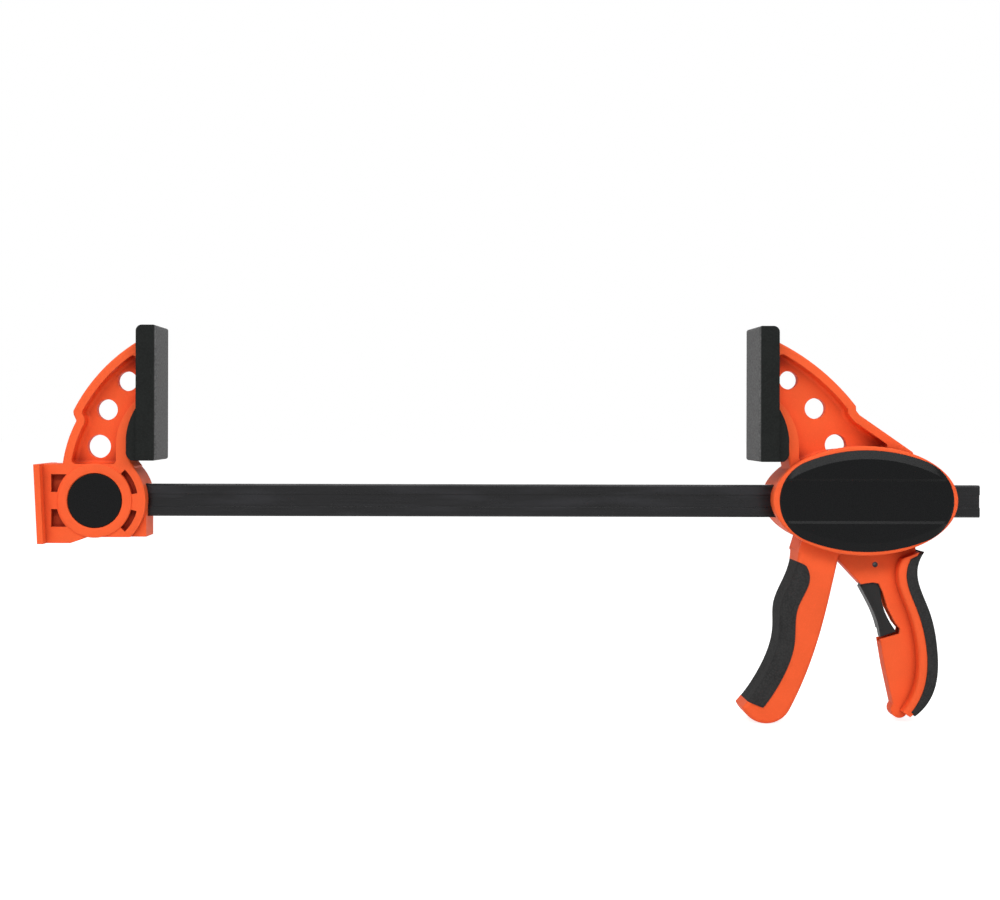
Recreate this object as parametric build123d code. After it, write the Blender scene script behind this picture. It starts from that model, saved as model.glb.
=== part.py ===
from build123d import *
from math import atan2, cos, degrees, radians, sin, tan
import os

# One-hand quick release bar clamp, millimetres, +Z up, bar along X, depth along Y.
# The origin is the centre of the fixed jaw's pad face. The clamp is shown open.
#
# Everything is drawn about the bar's axis (Z = 0 there), and save() lowers it so that
# the pad faces are centred on Z = 0. Each jaw is drawn with u = 0 at its own pad face
# and u growing away from the work. The fixed jaw is then mirrored to -X and the moving
# jaw is carried along the bar to the opening.

# ---- driving dimensions -------------------------------------------------------------
OPENING = 295.0              # between the pad faces as shown
JAWS_TAKE = 152.0            # length of the bar that the jaws and its end take
BAR_LENGTH = 457.0           # 18 inch
BAR_HEIGHT = 16.0
BAR_THICK = 6.0
BAR_CHAMFER = 0.7
GROOVE_HEIGHT = 6.4
GROOVE_DEPTH = 0.7
BAR_FIT = 0.1                # bar in its sockets and guides, each side
SLIDE_FIT = 0.1              # moving plastic parts beside each other, each side
PIN_FIT = 0.05               # turning bores on their pins, on the radius
SEAT_FIT = 0.05              # parts that seat on each other without load

PAD_CENTRE_UP = 53.2         # pad centre above the bar's axis
PAD_HEIGHT = 66.6
PAD_THICK = 10.0
PAD_DEPTH = 32.0
PAD_EDGE_R = 1.6
PAD_CROWN_R = 3.0
HEEL_DEPTH = 29.2            # the boot's heel is set in from the pad's sides
HEEL_REACH = 15.0            # how far the heel stands behind the pad face
HEEL_HEIGHT = 25.0

PLATE_FRONT = 4.4            # the arm's head plate inside the boot
PLATE_THICK = 3.2
PLATE_DEPTH = 25.0
PLATE_MARGIN = 3.2           # plate to the boot's top and bottom
ARM_DEPTH = 20.0
WEB_DEPTH = 4.4
RIM = 4.2                    # width of the raised rim round the web
POCKET_CORNER_R = 2.0
POCKET_FLOOR_R = 1.8
HEEL_RIM = 5.9               # arm rim beside the boot's heel
ARM_CORNER_R = 1.2
ARM_EDGE_R = 1.0
# holes in the arms: distance behind the pad face, height from the pad's centre, radius
FIXED_HOLES = [(16.9, 5.9, 4.9), (27.0, -8.3, 5.2), (31.0, -26.6, 5.8)]
MOVING_HOLES = [(17.5, 7.1, 4.6), (30.8, -7.0, 5.2), (41.0, -25.1, 5.3)]

LOCK_U = 31.3                # lock button behind the pad face
HOLE_FROM_END = 18.0         # cross holes from each end of the bar
BAR_HOLE_R = 2.5
BLOCK_NOSE_R = 25.0
BLOCK_DEPTH = 20.0
BLOCK_BACK_U = 58.0
FOOT_DROP = 3.0              # the block's lower outer corner below the rest
FLANGE_THICK = 3.0
FLANGE_DEPTH = 32.0
FLANGE_LEAN = 2.0            # its top leans out by this much
RING_R = 18.4
BUTTON_R = 13.4
BUTTON_TRAVEL = 3.6
BUTTON_PROUD = 0.6
BUTTON_DISC = 2.3
LEG_WIDTH = 10.0
LEG_THICK = 3.4
LEG_OFF_BAR = 0.4
YOKE_THICK = 2.0
TOOTH_R = 2.4
TOOTH_TIP_Y = 0.3
REAR_BOSS_R = 24.0
REAR_BOSS_Y = 16.0
CAP_THICK = 1.8
CAP_R = 15.4

OVAL_U = 52.0                # housing oval, centre and half axes
OVAL_Z = 1.0
OVAL_A = 43.6
OVAL_DEPTH = 34.0
LIP = 1.6                    # the front lip stands out from the oval by this much
LIP_DEEP = 4.6
LIP_EDGE_R = 0.8
SHELL_A_WALL = 4.2
SHELL_B_WALL = 3.6
COVER_A = 41.5
REAR_INSET = 2.4             # the rear cover is smaller by this much
COVER_SEAT = 2.5             # seat below the oval's face
COVER_CROWN = 1.6
COVER_BEVEL = 3.4
COVER_BAND_UP = 9.9          # recessed middle band, above and below its centre
COVER_BAND_DEEP = 0.8
SKIRT_WALL = 1.4
SKIRT_DEEP = 3.0

PIVOT_U = 37.5               # trigger pin, above the bar
PIVOT_R = 2.5
PIVOT_BOSS_R = 4.6
PIVOT_HALF = 13.6
TRIGGER_SWING = 22.0
TRIGGER_FRONT_WALL = 3.2
NOSE_R = 2.5
NOSE_BACK = 6.0              # the nose behind the pivot, towards the pad
PLATE_T = 2.5                # each drive or brake plate
BRAKE_TAIL_Z = -42.5
BRAKE_TAIL_HALF = 2.2
BRAKE_TILT = 2.0             # the brake plates' lean when they hold the bar
ABUT_U = 65.85
ABUT_HIGH = 2.4
BULKHEAD_U = 60.0
BULKHEAD_T = 2.5
FRONT_GUIDE_END = 19.0
STOP_WALL = 2.4              # wall that the stop pin meets
DRIVE_SPRING_R = 3.2
DRIVE_WIRE = 1.0
DRIVE_TURNS = 6.0
BRAKE_WIRE = 1.3
BRAKE_TURNS = 3.0
BUTTON_SPRING_R = 6.0
BUTTON_WIRE = 0.6
BUTTON_TURNS = 2.5

HANDLE_WEB_HALF = 4.0
SPINE_HALF = 10.0
SPINE_RIM = 4.0              # orange rim left showing beside the rear grip
GRIP_PROUD = 0.5
GRIP_BACK = 3.0              # rubber over the back of the handle
GRIP_SIDE = 2.0              # rubber on its sides
GRIP_FRONT = 2.2             # rubber over the trigger's front
GRIP_EDGE_R = 3.0
SPINE_EDGE_R = 1.5
TRIGGER_EDGE_R = 2.0
WEB_EDGE_R = 0.5
LEVER_PIN_U = 60.3
LEVER_PIN_Z = -31.3
LEVER_PIN_R = 1.35
LEVER_BOSS_R = 3.3
LEVER_HALF = 2.3
LEVER_RAIL_HALF = 3.4
LEVER_RAIL_DEEP = 1.6
LEVER_HEEL_DOWN = 10.0
LEVER_SWING = 10.0
SLOT_HALF = 2.6

# ---- sizes that follow from them ----------------------------------------------------
PAD_BOTTOM = PAD_CENTRE_UP - PAD_HEIGHT / 2
PAD_TOP = PAD_CENTRE_UP + PAD_HEIGHT / 2
PLATE_BACK = PLATE_FRONT + PLATE_THICK
PLATE_LOW = PAD_BOTTOM + PLATE_MARGIN
PLATE_HIGH = PAD_TOP - PLATE_MARGIN
FOOT_Z = PAD_BOTTOM + 5.0    # underside of the arm inside the boot
HALF_H = BAR_HEIGHT / 2
HALF_T = BAR_THICK / 2
MAX_OPENING = BAR_LENGTH - JAWS_TAKE # 12 inch clamp, where the stop pin meets its shoulder
BLOCK_HALF = HALF_H + 10.0   # half height of the fixed jaw's block
BUTTON_FLOOR_Y = -HALF_T - 1.6
YOKE_Y = HALF_T + 3.2        # front face of the lock yoke at rest
OVAL_B = HALF_H + 17.2
COVER_B = OVAL_B - 0.5
PIVOT_Z = HALF_H + 7.0
PLATE_HALF = HALF_T + 3.4    # drive and brake plates
DRIVE_TOP = HALF_H + 3.8
DRIVE_BOTTOM = -HALF_H - 11.0
BRAKE_TOP = HALF_H + 4.6
BRAKE_HOLE = BAR_HEIGHT + 0.5
BRAKE_SPRING_R = HALF_H + 1.9
DRIVE_SPRING_Z = -HALF_H - 6.2
ABUT_Z = HALF_H + 3.0
RIB_HALF = PLATE_HALF - 0.1
GUIDE_HALF = HALF_T + 6.0
GUIDE_HIGH = HALF_H + 4.5
STOP_PIN_HALF = HALF_T + 2.5
FORK_INNER = PLATE_HALF + 0.6 # half gap of the trigger's fork and channel
TRIGGER_HALF = FORK_INNER + 3.0
NOSE_Z = -HALF_H - 5.0
BAR_START_U = LOCK_U + HOLE_FROM_END
BAR_LEFT = -BAR_START_U
BAR_RIGHT = BAR_LEFT + BAR_LENGTH
STOP_PIN_X = BAR_RIGHT - HOLE_FROM_END
STOP_SHOULDER_U = STOP_PIN_X - MAX_OPENING - BAR_HOLE_R - SEAT_FIT
OVAL_HALF = OVAL_DEPTH / 2
NOSE_U = PIVOT_U - NOSE_BACK
DRIVE_U = NOSE_U + NOSE_R + SEAT_FIT
NOSE_ARM = (NOSE_BACK ** 2 + (PIVOT_Z - NOSE_Z) ** 2) ** 0.5
NOSE_LEAN = degrees(atan2(NOSE_BACK, PIVOT_Z - NOSE_Z))
DRIVE_TRAVEL = NOSE_ARM * (sin(radians(NOSE_LEAN)) + sin(radians(TRIGGER_SWING - NOSE_LEAN)))
HEEL_Z = LEVER_PIN_Z - LEVER_HEEL_DOWN
HEEL_U = ABUT_U - (ABUT_Z - HEEL_Z) * tan(radians(BRAKE_TILT)) - SEAT_FIT
SPRING_WALL_U = STOP_SHOULDER_U - STOP_WALL


# ---- helpers ------------------------------------------------------------------------
def slab(face, back, front):
    """Solid of an outline in X-Z between two depths."""
    return Pos(0, back, 0) * extrude(Plane.XZ * face, amount=back - front, dir=(0, -1, 0))


def even(face, half):
    """Solid of an outline in X-Z, centred on the clamp's middle plane."""
    return slab(face, half, -half)


def block(u_low, u_high, half, z_low, z_high):
    """Rectangular block, centred on the middle plane."""
    middle = Pos((u_low + u_high) / 2, 0, (z_low + z_high) / 2)
    return middle * Box(u_high - u_low, 2 * half, z_high - z_low)


def cross_rod(u, z, radius, back, front):
    """Round rod across the clamp, between two depths."""
    return Pos(u, (back + front) / 2, z) * Rot(90, 0, 0) * Cylinder(radius, back - front)


def oval(a, b):
    """Outline concentric with the housing's oval."""
    return Pos(OVAL_U, OVAL_Z) * Ellipse(a, b)


def panel(*edges):
    """Face inside a closed run of edges."""
    return make_face(Curve() + list(edges))


def spring(start, direction, radius, wire, turns, length):
    """Compression spring between two seats, its wire drawn with eight flats."""
    path = Helix(pitch=(length - wire) / turns, height=length - wire, radius=radius)
    section = Plane(path @ 0, z_dir=path % 0) * RegularPolygon(wire / 2, 8)
    coil = sweep(section, path=path, is_frenet=True)
    lift = wire / 2
    return Plane(start, z_dir=direction) * Pos(0, 0, lift) * coil


def roll_pin(u, z, radius, half):
    """Slit spring pin across the clamp."""
    tube = cross_rod(u, z, radius, half, -half) - cross_rod(u, z, radius * 0.6, half, -half)
    return tube - Pos(u, 0, z - radius * 0.8) * Box(radius * 0.4, 2 * half, radius)


def edged(body, radius):
    """Rounds the front and back edges of a solid drawn by slab() or even()."""
    by_depth = body.faces().sort_by(Axis.Y)
    return fillet(by_depth[0].edges() + by_depth[-1].edges(), radius)


def rounded(face, radius, least=20):
    """Face with its corners rounded, but not the joints that turn by less than a few degrees."""
    run = face.outer_wire().order_edges()
    pairs = zip(run[-1:] + run[:-1], run)
    sharp = [after @ 0 for before, after in pairs if (before % 1).get_angle(after % 0) > least]
    corners = [v for v in face.vertices() if any((Vector(v) - p).length < 0.001 for p in sharp)]
    return fillet(corners, radius)


def to_fixed(shape):
    """Turns a jaw drawn along +u into the fixed jaw, which faces +X."""
    return mirror(shape, Plane.YZ)


def to_moving(shape):
    """Carries a jaw drawn along +u to where the moving jaw stands."""
    return Pos(OPENING, 0, 0) * shape


def save(shape, name):
    """Writes one node in the part's frame."""
    placed = Pos(0, 0, -PAD_CENTRE_UP) * shape
    export_step(placed, f"parts/{name}.step")


# ---- bar ----------------------------------------------------------------------------
def bar_section(height, thick):
    outline = Rectangle(thick, height)
    outline = chamfer(outline.vertices(), BAR_CHAMFER)
    for side in (-1, 1):
        groove = Rectangle(GROOVE_DEPTH, GROOVE_HEIGHT)
        outline -= Pos(side * (thick - GROOVE_DEPTH) / 2, 0) * groove
    return outline


def bar():
    body = extrude(Plane.YZ * bar_section(BAR_HEIGHT, BAR_THICK), amount=BAR_LENGTH)
    body = Pos(BAR_LEFT, 0, 0) * body
    for x in (-LOCK_U, STOP_PIN_X):
        body -= cross_rod(x, 0, BAR_HOLE_R, BAR_THICK, -BAR_THICK)
    return body


def bar_passage(u_low, u_high):
    """Room for the bar through a socket or guide."""
    return block(u_low, u_high, HALF_T + BAR_FIT, -HALF_H - BAR_FIT, HALF_H + BAR_FIT)


# ---- pad boots ----------------------------------------------------------------------
def heel_outline():
    top = (PAD_THICK, PAD_BOTTOM + HEEL_HEIGHT + 1.2)
    shoulder = (HEEL_REACH, PAD_BOTTOM + HEEL_HEIGHT * 0.45)
    low = (HEEL_REACH, FOOT_Z - 0.6)
    bottom = (HEEL_REACH - 2.8, PAD_BOTTOM)
    inside = PAD_THICK / 2
    return panel(
        ThreePointArc(top, (HEEL_REACH - 1.6, PAD_BOTTOM + HEEL_HEIGHT * 0.76), shoulder),
        Line(shoulder, low),
        ThreePointArc(low, (HEEL_REACH - 0.7, PAD_BOTTOM + 1.7), bottom),
        Line(bottom, (inside, PAD_BOTTOM)),
        Line((inside, PAD_BOTTOM), (inside, top[1])),
        Line((inside, top[1]), top),
    )


def pad_boot(arm_outline):
    """Rubber boot that slips over the jaw's head plate and the arm behind it."""
    face = Pos(PAD_THICK / 2, PAD_CENTRE_UP) * Rectangle(PAD_THICK, PAD_HEIGHT)
    crown = face.vertices().group_by(Axis.Y)[-1].sort_by(Axis.X)[-1]
    face = fillet(crown, PAD_CROWN_R)
    boot = even(face, PAD_DEPTH / 2)
    front = boot.faces().sort_by(Axis.X)[0]
    boot = fillet(front.edges(), PAD_EDGE_R)
    boot += even(heel_outline(), HEEL_DEPTH / 2)
    gap = SEAT_FIT
    boot -= block(PLATE_FRONT - gap, PLATE_BACK + gap, PLATE_DEPTH / 2 + gap,
                  PLATE_LOW - gap, PLATE_HIGH + gap)
    arm_room = offset(rounded(arm_outline.face(), ARM_CORNER_R), gap)
    boot -= even(arm_room, ARM_DEPTH / 2 + gap)
    return boot


# ---- jaw arms -----------------------------------------------------------------------
def head_plate():
    return block(PLATE_FRONT, PLATE_BACK, PLATE_DEPTH / 2, PLATE_LOW, PLATE_HIGH)


def heel_rim():
    """Part of the arm beside the boot's heel that stays full depth."""
    reach = HEEL_REACH + HEEL_RIM
    top = (PAD_THICK - 1.0, PAD_BOTTOM + 31.1)
    low = (reach, PAD_BOTTOM + 4.1)
    return panel(
        ThreePointArc(top, (reach - 1.7, PAD_BOTTOM + 17.3), low),
        Line(low, (reach, 0)),
        Line((reach, 0), (0, 0)),
        Line((0, 0), (0, top[1])),
        Line((0, top[1]), top),
    )


def fixed_arm_outline():
    top = (PLATE_BACK - 1.0, PLATE_HIGH - 2.4)
    step = (42.2, PAD_CENTRE_UP - 9.0)
    step_low = (42.0, PAD_CENTRE_UP - 10.8)
    step_in = (40.6, PAD_CENTRE_UP - 13.8)
    low = (47.4, BLOCK_HALF)
    foot = (HEEL_REACH + 0.6, FOOT_Z)
    neck = (12.0, BLOCK_HALF - 1.0)
    return panel(
        ThreePointArc(top, (28.8, PLATE_HIGH - 19.7), step),
        Line(step, step_low),
        Line(step_low, step_in),
        ThreePointArc(step_in, (44.9, 29.2), low),
        Line(low, (low[0], 0)),
        Line((low[0], 0), (neck[0], 0)),
        Line((neck[0], 0), neck),
        ThreePointArc(neck, (HEEL_REACH - 0.3, 20.9), foot),
        Line(foot, (top[0], FOOT_Z)),
        Line((top[0], FOOT_Z), top),
    )


def moving_arm_outline():
    top = (PLATE_BACK - 1.0, PLATE_HIGH - 2.4)
    step = (49.2, PAD_CENTRE_UP - 5.8)
    step_low = (49.3, PAD_CENTRE_UP - 8.0)
    step_in = (51.0, PAD_CENTRE_UP - 10.2)
    low = (77.5, 24.6)
    foot = (HEEL_REACH + 0.6, FOOT_Z)
    neck = (18.0, 12.0)
    return panel(
        ThreePointArc(top, (31.0, PLATE_HIGH - 17.3), step),
        Line(step, step_low),
        Line(step_low, step_in),
        Line(step_in, low),
        Line(low, (low[0], 5)),
        Line((low[0], 5), (neck[0], 5)),
        Line((neck[0], 5), neck),
        ThreePointArc(neck, (HEEL_REACH + 1.3, 18.6), foot),
        Line(foot, (top[0], FOOT_Z)),
        Line((top[0], FOOT_Z), top),
    )


def arm(outline, keep_out, holes):
    """I-section arm: full-depth rims, a thin web between them and three holes."""
    body = edged(even(rounded(outline.face(), ARM_CORNER_R), ARM_DEPTH / 2), ARM_EDGE_R)
    pocket = offset(outline, -RIM) - heel_rim() - keep_out
    pocket = rounded(pocket.faces().sort_by(SortBy.AREA)[-1], POCKET_CORNER_R)
    sink = slab(pocket, -WEB_DEPTH / 2, -ARM_DEPTH / 2 - 1)
    floor = sink.faces().sort_by(Axis.Y)[-1]
    sink = fillet(floor.edges(), POCKET_FLOOR_R)
    body -= sink
    body -= mirror(sink, Plane.XZ)
    for u, up, radius in holes:
        hole = Pos(u, PAD_CENTRE_UP + up) * Circle(radius) - keep_out
        body -= even(hole, ARM_DEPTH)
    return body


# ---- fixed jaw ----------------------------------------------------------------------


def block_outline():
    """Side view of the block that takes the bar's end."""
    nose = Pos(LOCK_U, 0) * Circle(BLOCK_NOSE_R)
    strip = Pos(LOCK_U, 0) * Rectangle(4 * BLOCK_NOSE_R, 2 * BLOCK_HALF)
    length = BLOCK_BACK_U - LOCK_U
    tail = Pos(LOCK_U + length / 2, 0) * Rectangle(length, 2 * BLOCK_HALF)
    foot = Polygon(
        (LOCK_U + 4.0, -BLOCK_HALF + 1.0), (LOCK_U + 4.0, -BLOCK_HALF),
        (LOCK_U + 12.0, -BLOCK_HALF - FOOT_DROP), (BLOCK_BACK_U, -BLOCK_HALF - FOOT_DROP),
        (BLOCK_BACK_U, -BLOCK_HALF + 1.0), align=None)
    return (nose & strip) + tail + foot


def flange():
    """Leaning end plate, as deep as the pad."""
    low = -BLOCK_HALF - FOOT_DROP
    face = Polygon(
        (BLOCK_BACK_U - FLANGE_THICK, low), (BLOCK_BACK_U, low),
        (BLOCK_BACK_U + FLANGE_LEAN, BLOCK_HALF),
        (BLOCK_BACK_U + FLANGE_LEAN - FLANGE_THICK, BLOCK_HALF), align=None)
    return even(face, FLANGE_DEPTH / 2)


def block_pockets():
    """Sink pockets round the button's ring, on the front face."""
    ring = Pos(LOCK_U, 0) * Circle(RING_R + 0.6)
    outer = BLOCK_BACK_U - 5.2
    face = Sketch()
    for side in (-1, 1):
        window = Pos(outer - 5.5, side * 8.6) * Rectangle(11.0, 8.7)
        face += window - ring
    wedge_reach = 2 * BLOCK_NOSE_R
    for low, high in ((10, 46), (-46, -14)):
        wedge = Polygon(
            (0, 0), (-wedge_reach * cos(radians(low)), wedge_reach * sin(radians(low))),
            (-wedge_reach * cos(radians(high)), wedge_reach * sin(radians(high))), align=None)
        crescent = (Circle(RING_R + 2.9) - Circle(RING_R)) & wedge
        face += Pos(LOCK_U, 0) * crescent
    return slab(face, -BLOCK_DEPTH / 2 + 4.0, -BLOCK_DEPTH / 2)


def fixed_jaw():
    outline = block_outline()
    body = arm(fixed_arm_outline(), outline, FIXED_HOLES)
    body += head_plate()
    body += even(outline, BLOCK_DEPTH / 2)
    corner = Pos(LOCK_U - 12.4, -BLOCK_HALF / 2 - 0.4) * Rectangle(24.8, BLOCK_HALF - 0.8)
    body += slab(corner, BLOCK_DEPTH / 2, -BLOCK_DEPTH / 2 + 3.0)
    strip = Pos(LOCK_U, 0) * Rectangle(4 * BLOCK_NOSE_R, 2 * BLOCK_HALF)
    body += slab(Pos(LOCK_U, 0) * Circle(REAR_BOSS_R) & strip, REAR_BOSS_Y, 0)
    body += flange()
    body -= block_pockets()
    front = -BLOCK_DEPTH / 2
    body -= cross_rod(LOCK_U, 0, BUTTON_R + SLIDE_FIT, BUTTON_FLOOR_Y, front - 1)
    body -= cross_rod(LOCK_U, 0, BUTTON_R + 0.4, REAR_BOSS_Y + 1, YOKE_Y - 0.2)
    body -= cross_rod(LOCK_U, 0, CAP_R + SEAT_FIT, REAR_BOSS_Y + 1, REAR_BOSS_Y - CAP_THICK)
    body -= cross_rod(LOCK_U, 0, TOOTH_R + 2 * SLIDE_FIT, YOKE_Y, 0)
    half = LEG_WIDTH / 2 + SLIDE_FIT
    reach = HALF_H + LEG_OFF_BAR + LEG_THICK + SLIDE_FIT
    for low, high in ((HALF_H, reach), (-reach, -HALF_H)):
        slot = block(LOCK_U - half, LOCK_U + half, 1, low, high)
        body -= Pos(0, YOKE_Y - 5.4, 0) * scale(slot, by=(1, 6.0, 1))
    body -= bar_passage(-1, BAR_START_U + BAR_FIT)
    return body


def push_button():
    """Round button whose two legs reach past the bar to the lock yoke."""
    front = -BLOCK_DEPTH / 2 - BUTTON_PROUD
    disc = cross_rod(LOCK_U, 0, BUTTON_R, front + BUTTON_DISC, front)
    disc = fillet(disc.faces().sort_by(Axis.Y)[0].edges(), 0.5)
    start = HALF_H + LEG_OFF_BAR
    back = YOKE_Y
    leg_face = Rectangle(LEG_WIDTH, LEG_THICK)
    spigot_face = Rectangle(LEG_WIDTH - 4.0, LEG_THICK - 1.4)
    for side in (-1, 1):
        centre = Pos(LOCK_U, side * (start + LEG_THICK / 2))
        disc += slab(centre * leg_face, back, front + BUTTON_DISC - 0.5)
        disc += slab(centre * spigot_face, back + YOKE_THICK, back)
    return disc


def lock_yoke():
    """Steel plate across the button's legs, with the tooth that enters the bar."""
    high = HALF_H + LEG_OFF_BAR + LEG_THICK + 0.5
    body = slab(Pos(LOCK_U, 0) * Rectangle(LEG_WIDTH, 2 * high), YOKE_Y + YOKE_THICK, YOKE_Y)
    spigot_face = Rectangle(LEG_WIDTH - 4.0 + 0.1, LEG_THICK - 1.4 + 0.1)
    for side in (-1, 1):
        centre = Pos(LOCK_U, side * (HALF_H + LEG_OFF_BAR + LEG_THICK / 2))
        body -= slab(centre * spigot_face, YOKE_Y + YOKE_THICK + 1, YOKE_Y - 1)
    body += cross_rod(LOCK_U, 0, TOOTH_R, YOKE_Y + 0.5, TOOTH_TIP_Y)
    return body


def rear_cap():
    inner = REAR_BOSS_Y - CAP_THICK
    body = cross_rod(LOCK_U, 0, CAP_R, REAR_BOSS_Y, inner)
    return fillet(body.faces().sort_by(Axis.Y)[-1].edges(), 0.6)


def button_spring():
    start = YOKE_Y + YOKE_THICK
    length = REAR_BOSS_Y - CAP_THICK - start
    return spring((LOCK_U, start, 0), (0, 1, 0), BUTTON_SPRING_R, BUTTON_WIRE, BUTTON_TURNS, length)


# ---- moving jaw ---------------------------------------------------------------------
def grip_inner_edge(shift):
    """Line where the rear grip meets the orange rim, moved along u."""
    points = [(76.3, -27.9), (74.2, -37.5), (79.0, -52.2), (83.6, -69.0), (83.9, -87.0), (76.6, -103.6)]
    return Spline([(u + shift, z) for u, z in points])


def handle_back_edge(inset):
    """Line of the handle's back, inset for the core under the rubber."""
    points = [(83.6, -24.6), (80.2, -36.0), (86.0, -53.5), (90.0, -72.0), (88.6, -93.0), (79.0, -106.0)]
    return Spline([(u - inset, z) for u, z in points])


def band(inner, outer):
    """Face between two edges that both run downwards."""
    return panel(inner, Line(inner @ 1, outer @ 1), outer, Line(outer @ 0, inner @ 0))


def handle_web_outline():
    """Thin middle plate of the fixed handle, with the notch for the release lever."""
    back = handle_back_edge(GRIP_BACK)
    points = [
        back @ 0, (80.0, -14.0), (44.0, -14.0), (42.0, -29.0), (53.4, -41.2), (59.3, -40.3), (62.3, -40.9),
        (64.4, -45.6), (66.4, -52.6), (70.4, -60.4), (72.9, -63.4), (72.4, -65.8), (63.0, -68.5),
        (65.2, -81.6), (69.4, -100.7)]
    edges = [Line(a, b) for a, b in zip(points, points[1:])]
    toe = ThreePointArc((69.4, -100.7), (71.2, -107.4), back @ 1)
    return panel(back, *edges, toe)


def handle_core():
    """Web, raised spine and the recessed seat of the rear grip."""
    body = edged(even(handle_web_outline(), HANDLE_WEB_HALF), WEB_EDGE_R)
    rim_face = band(grip_inner_edge(-SPINE_RIM), handle_back_edge(GRIP_BACK))
    spine = even(rim_face, SPINE_HALF)
    long_edges = spine.edges().sort_by(Edge.length)[-4:]
    body += fillet(long_edges.sort_by(Axis.X)[:2], SPINE_EDGE_R)
    seat = band(grip_inner_edge(0), handle_back_edge(0))
    for back, front in ((SPINE_HALF, SPINE_HALF - GRIP_SIDE), (-SPINE_HALF + GRIP_SIDE, -SPINE_HALF)):
        body -= slab(seat, back, front)
    return body


def rear_grip():
    """Soft overmould round the back of the fixed handle."""
    face = band(grip_inner_edge(0), handle_back_edge(0))
    body = even(face, SPINE_HALF + GRIP_PROUD)
    long_edges = body.edges().sort_by(Edge.length)[-4:]
    body = fillet(long_edges.sort_by(Axis.X)[-2:], GRIP_EDGE_R)
    core = band(grip_inner_edge(-20), handle_back_edge(GRIP_BACK))
    return body - even(core, SPINE_HALF - GRIP_SIDE)


def lever_slot():
    """Hollow of the web where the release lever and the brake plates' tails move."""
    face = Polygon(
        (53.0, -42.5), (53.0, -26.5), (63.0, -26.5), (63.0, -15.0), (73.0, -15.0), (73.0, -44.0),
        (79.8, -57.0), (79.8, -67.6), (62.0, -70.0), align=None)
    return even(face, SLOT_HALF)


def trigger_window():
    """Gap in the oval's lower wall where the trigger's fork swings."""
    face = Polygon(
        (19.0, -32.0), (24.2, -9.0), (40.0, -9.0), (58.8, -12.0), (58.8, -32.0), align=None)
    return even(face, TRIGGER_HALF + 0.5)


def moving_jaw():
    outer = oval(OVAL_A, OVAL_B)
    lip = oval(OVAL_A + LIP, OVAL_B + LIP)
    cavity = oval(OVAL_A - SHELL_A_WALL, OVAL_B - SHELL_B_WALL)
    body = arm(moving_arm_outline(), outer, MOVING_HOLES)
    body += head_plate()
    body += edged(even(outer, OVAL_HALF), LIP_EDGE_R)
    body += edged(slab(lip, -OVAL_HALF + LIP_DEEP, -OVAL_HALF), LIP_EDGE_R)
    body -= even(cavity, OVAL_HALF + 1)
    body -= slab(oval(COVER_A + SEAT_FIT, COVER_B + SEAT_FIT), -OVAL_HALF + COVER_SEAT, -OVAL_HALF - 1)
    rear_mouth = oval(COVER_A - REAR_INSET / 2 + SEAT_FIT, COVER_B - REAR_INSET + SEAT_FIT)
    body -= slab(rear_mouth, OVAL_HALF + 1, OVAL_HALF - COVER_SEAT)
    body -= trigger_window()
    handle = handle_core() - even(cavity, OVAL_HALF)
    body += handle
    ribs = even(cavity, RIB_HALF) & (
        block(PIVOT_U - 6, PIVOT_U + 6, RIB_HALF, DRIVE_TOP + 0.8, OVAL_Z + OVAL_B)
        + block(BULKHEAD_U, BULKHEAD_U + BULKHEAD_T, RIB_HALF, -OVAL_B, OVAL_B)
        + block(BULKHEAD_U, ABUT_U, RIB_HALF, ABUT_Z, ABUT_Z + ABUT_HIGH))
    guides = even(outer, GUIDE_HALF) & (
        block(0, FRONT_GUIDE_END, GUIDE_HALF, -GUIDE_HIGH, GUIDE_HIGH)
        + block(SPRING_WALL_U, OVAL_U + OVAL_A, GUIDE_HALF, -GUIDE_HIGH, GUIDE_HIGH))
    body += ribs
    body += guides
    body -= bar_passage(0, OVAL_U + OVAL_A + 1)
    pin_room = BAR_HOLE_R + 0.3
    body -= block(STOP_SHOULDER_U, OVAL_U + OVAL_A + 1, STOP_PIN_HALF + 0.3, -pin_room, pin_room)
    body -= cross_rod(PIVOT_U, PIVOT_Z, PIVOT_R, OVAL_HALF, -OVAL_HALF)
    body -= cross_rod(LEVER_PIN_U, LEVER_PIN_Z, LEVER_PIN_R, SPINE_HALF, -SPINE_HALF)
    body -= lever_slot()
    return body


def cover(a, b):
    """Bevelled oval cover with a recessed band, drawn for the front of the housing."""
    seat = -OVAL_HALF + COVER_SEAT
    face = -OVAL_HALF - COVER_CROWN
    body = slab(oval(a, b), seat, face)
    rim = body.faces().sort_by(Axis.Y)[0].edges()
    body = chamfer(rim, COVER_CROWN, COVER_BEVEL)
    middle = Pos(OVAL_U, OVAL_Z) * Rectangle(2 * a, 2 * COVER_BAND_UP)
    inner = oval(a - COVER_BEVEL, b - COVER_BEVEL)
    body -= slab(middle & inner, face + COVER_BAND_DEEP, face - 1)
    cavity_a = OVAL_A - SHELL_A_WALL - SEAT_FIT
    cavity_b = OVAL_B - SHELL_B_WALL - SEAT_FIT
    ring = oval(cavity_a, cavity_b) - oval(cavity_a - SKIRT_WALL, cavity_b - SKIRT_WALL)
    body += slab(ring, seat + SKIRT_DEEP, seat)
    boss_end = -TRIGGER_HALF - 2 * SLIDE_FIT
    body += cross_rod(PIVOT_U, PIVOT_Z, PIVOT_R + 1.4, boss_end, seat)
    body -= cross_rod(PIVOT_U, PIVOT_Z, PIVOT_R + PIN_FIT, boss_end, -PIVOT_HALF - SEAT_FIT)
    return body


def front_cover():
    return cover(COVER_A, COVER_B)


def rear_cover():
    return mirror(cover(COVER_A - REAR_INSET / 2, COVER_B - REAR_INSET), Plane.XZ)


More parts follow.
